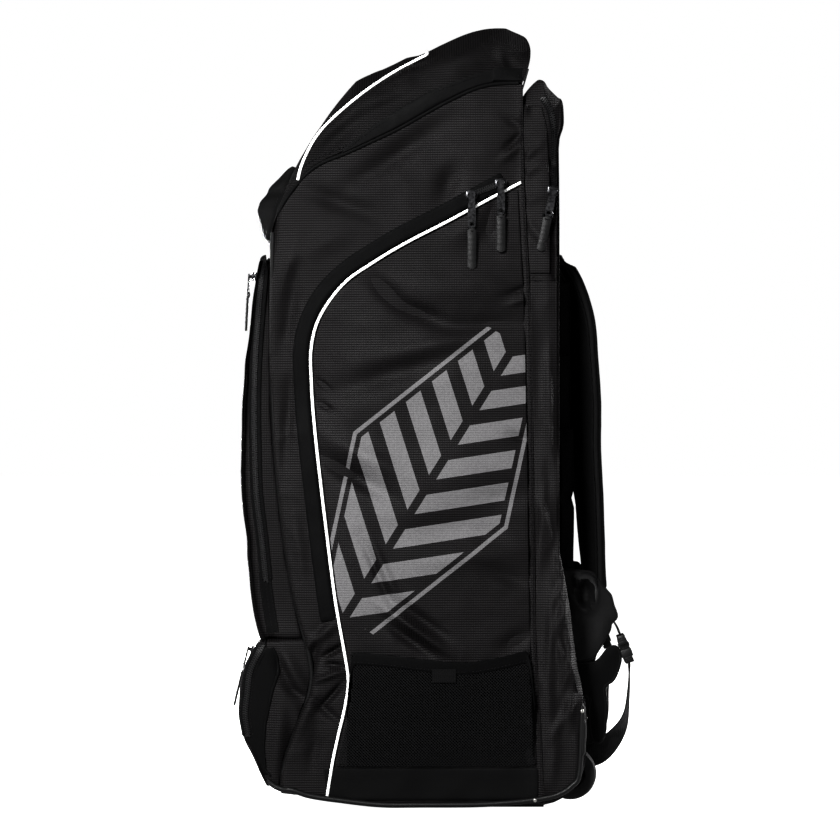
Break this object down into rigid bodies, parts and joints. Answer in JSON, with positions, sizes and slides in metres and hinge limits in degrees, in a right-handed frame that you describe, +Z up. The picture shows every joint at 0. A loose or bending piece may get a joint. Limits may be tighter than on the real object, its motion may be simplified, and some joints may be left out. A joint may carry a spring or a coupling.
{
  "type": "wheeled duffel bag",
  "caption": "Tall soft sports bag with a domed lid, outside pockets, padded shoulder straps and a moulded base on wheels; it stands upright to hold gear.",
  "frame": {"origin": "on the flat underside of the base, in the middle of the width", "axes": "+Z up, -Y out of the front pockets, +Y out of the shoulder straps, X across the width"},
  "size_m": [0.3842, 0.4592, 0.8951],
  "materials": {
    "ripstop_cloth": "fine ripstop weave",
    "smooth_cloth": "smooth coated weave",
    "net": "open knitted net",
    "padding": "padded cloth",
    "webbing": "woven webbing",
    "white_piping": "satin",
    "black_piping": "satin",
    "moulding": "fine grained",
    "wheel": "matt",
    "zip_metal": "gunmetal",
    "zip_pull": "satin"
  },
  "bodies": {
    "bag": {"back_pad_lower": "padding", "back_pad_middle": "padding", "back_pad_upper": "padding", "base_rim_left": "moulding", "base_rim_right": "moulding", "base_tray": "moulding", "bat_sleeve": "ripstop_cloth", "corner_gusset_left": "ripstop_cloth", "corner_gusset_right": "ripstop_cloth", "front_handle": "padding", "front_pocket": "ripstop_cloth", "front_pocket_pull": "zip_pull", "front_pocket_slider": "zip_metal", "front_pocket_zip": "zip_metal", "front_seam_piping_left": "black_piping", "front_seam_piping_right": "black_piping", "hanging_webbing_left": "webbing", "hanging_webbing_right": "webbing", "haul_loop": "padding", "lid": "ripstop_cloth", "lid_piping": "white_piping", "lid_storm_flap": "smooth_cloth", "link_webbing_left": "webbing", "link_webbing_right": "webbing", "main_shell": "ripstop_cloth", "net_label_right": "smooth_cloth", "net_pocket_left": "net", "net_pocket_right": "net", "shoe_pocket": "smooth_cloth", "shoe_pocket_pull": "zip_pull", "shoe_pocket_slider": "zip_metal", "shoe_pocket_zip": "zip_metal", "shoulder_strap_left": "padding", "shoulder_strap_right": "padding", "side_piping_left": "white_piping", "side_piping_right": "white_piping", "side_pocket_left": "ripstop_cloth", "side_pocket_right": "ripstop_cloth", "side_pull_lower_left": "zip_pull", "side_pull_lower_right": "zip_pull", "side_pull_upper_left": "zip_pull", "side_pull_upper_right": "zip_pull", "side_slider_lower_left": "zip_metal", "side_slider_lower_right": "zip_metal", "side_slider_upper_left": "zip_metal", "side_slider_upper_right": "zip_metal", "side_zip_band_left": "smooth_cloth", "side_zip_band_right": "smooth_cloth", "sleeve_pull": "zip_pull", "sleeve_slider": "zip_metal", "strap_buckle_left": "moulding", "strap_buckle_right": "moulding", "strap_tab_left": "smooth_cloth", "strap_tab_right": "smooth_cloth", "strap_wing_left": "smooth_cloth", "strap_wing_right": "smooth_cloth", "wheel_base": "moulding"},
    "wheel_left": {"wheel_left": "wheel"},
    "wheel_right": {"wheel_right": "wheel"}
  },
  "joints": [
    {"name": "wheel_left_spin", "type": "hinge", "parent": "bag", "child": "wheel_left", "pos_m": [-0.128, 0.1718, 0.036], "axis": [1, 0, 0], "continuous": true},
    {"name": "wheel_right_spin", "type": "hinge", "parent": "bag", "child": "wheel_right", "pos_m": [0.128, 0.1718, 0.036], "axis": [1, 0, 0], "continuous": true}
  ]
}
